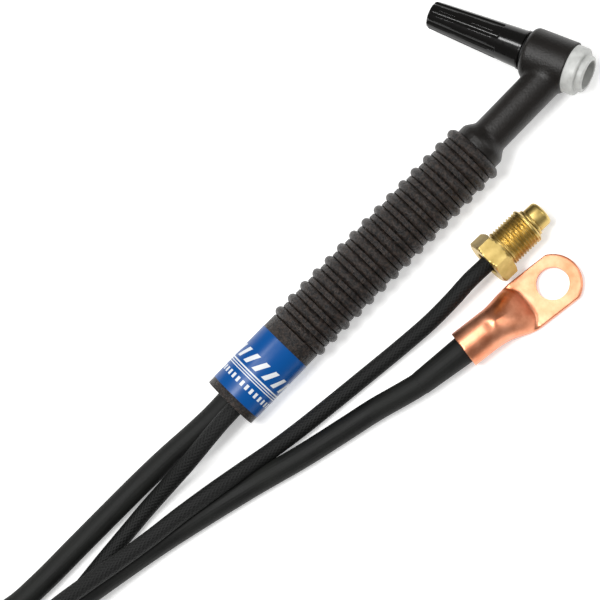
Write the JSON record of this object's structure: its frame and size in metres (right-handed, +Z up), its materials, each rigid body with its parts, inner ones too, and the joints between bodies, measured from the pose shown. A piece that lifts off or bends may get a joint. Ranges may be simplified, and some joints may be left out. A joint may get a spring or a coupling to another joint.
{
  "type": "tig torch",
  "caption": "Air-cooled TIG welding torch with angled head, screw-on back cap, ribbed handle, and separate power and gas leads ending in a cable lug and a threaded gas fitting.",
  "frame": {"origin": "on the surface the torch lies on, below the middle of the torch's own box, leads not counted", "axes": "+Z up from the surface, +X along the handle towards the head, back cap towards +Y and nozzle end towards -Y"},
  "size_m": [0.5181, 0.1684, 0.0331],
  "materials": {
    "handle_plastic": "moulded, satin, faintly grained",
    "head_plastic": "moulded, semi-gloss",
    "cap_plastic": "moulded phenolic, semi-gloss",
    "label_film": "printed film, smooth",
    "gasket_white": "fluoropolymer, waxy",
    "brass_part": "turned, bright",
    "copper_part": "drawn and pressed copper, slightly dulled",
    "black_rubber": "extruded, matt",
    "hose_braid": "braided cover, matt",
    "seal_rubber": "moulded, matt"
  },
  "bodies": {
    "torch": {"handle": "handle_plastic", "label_band": "label_film", "head_moulding": "head_plastic", "head_core": "brass_part", "neck_tube": "copper_part", "cup_gasket": "gasket_white", "connector_block": "brass_part", "gas_barb": "brass_part", "torch_hose_ferrule": "brass_part", "torch_crimp_sleeve": "copper_part", "torch_strands": "copper_part", "crimp_insulation": "seal_rubber", "power_cable_entry": "black_rubber", "gas_hose_entry": "hose_braid", "power_cable_out": "black_rubber", "power_cable_coil": "black_rubber", "power_cable_back": "black_rubber", "gas_hose_out": "hose_braid", "gas_hose_coil": "hose_braid", "gas_hose_back": "hose_braid", "power_cable_tail": "black_rubber", "lug_strain_relief": "black_rubber", "lug_strands": "copper_part", "cable_lug": "copper_part", "gas_hose_tail": "hose_braid", "fitting_ferrule": "brass_part", "gas_nipple": "brass_part"},
    "seal": {"back_cap_oring": "seal_rubber"},
    "back_cap": {"back_cap": "cap_plastic", "back_cap_insert": "brass_part"},
    "gas_nut": {"gas_nut": "brass_part"}
  },
  "joints": [
    {"name": "cap_travel", "type": "slide", "parent": "torch", "child": "seal", "axis": [-0.342, 0.9331, -0.1115], "range_m": [0, 0.0048]},
    {"name": "cap_turn", "type": "hinge", "parent": "seal", "child": "back_cap", "pos_m": [0.08821, -0.0203, 0.0131], "axis": [-0.342, 0.9331, -0.1115], "range_deg": [0, 2160]},
    {"name": "gas_nut_spin", "type": "hinge", "parent": "torch", "child": "gas_nut", "pos_m": [0.0105, -0.0552, 0.00977], "axis": [0.9964, -0.0261, -0.0807], "continuous": true}
  ],
  "couplings": [
    {"joint": "cap_travel", "follows": "cap_turn", "m_per_rad": 0.00012637}
  ]
}
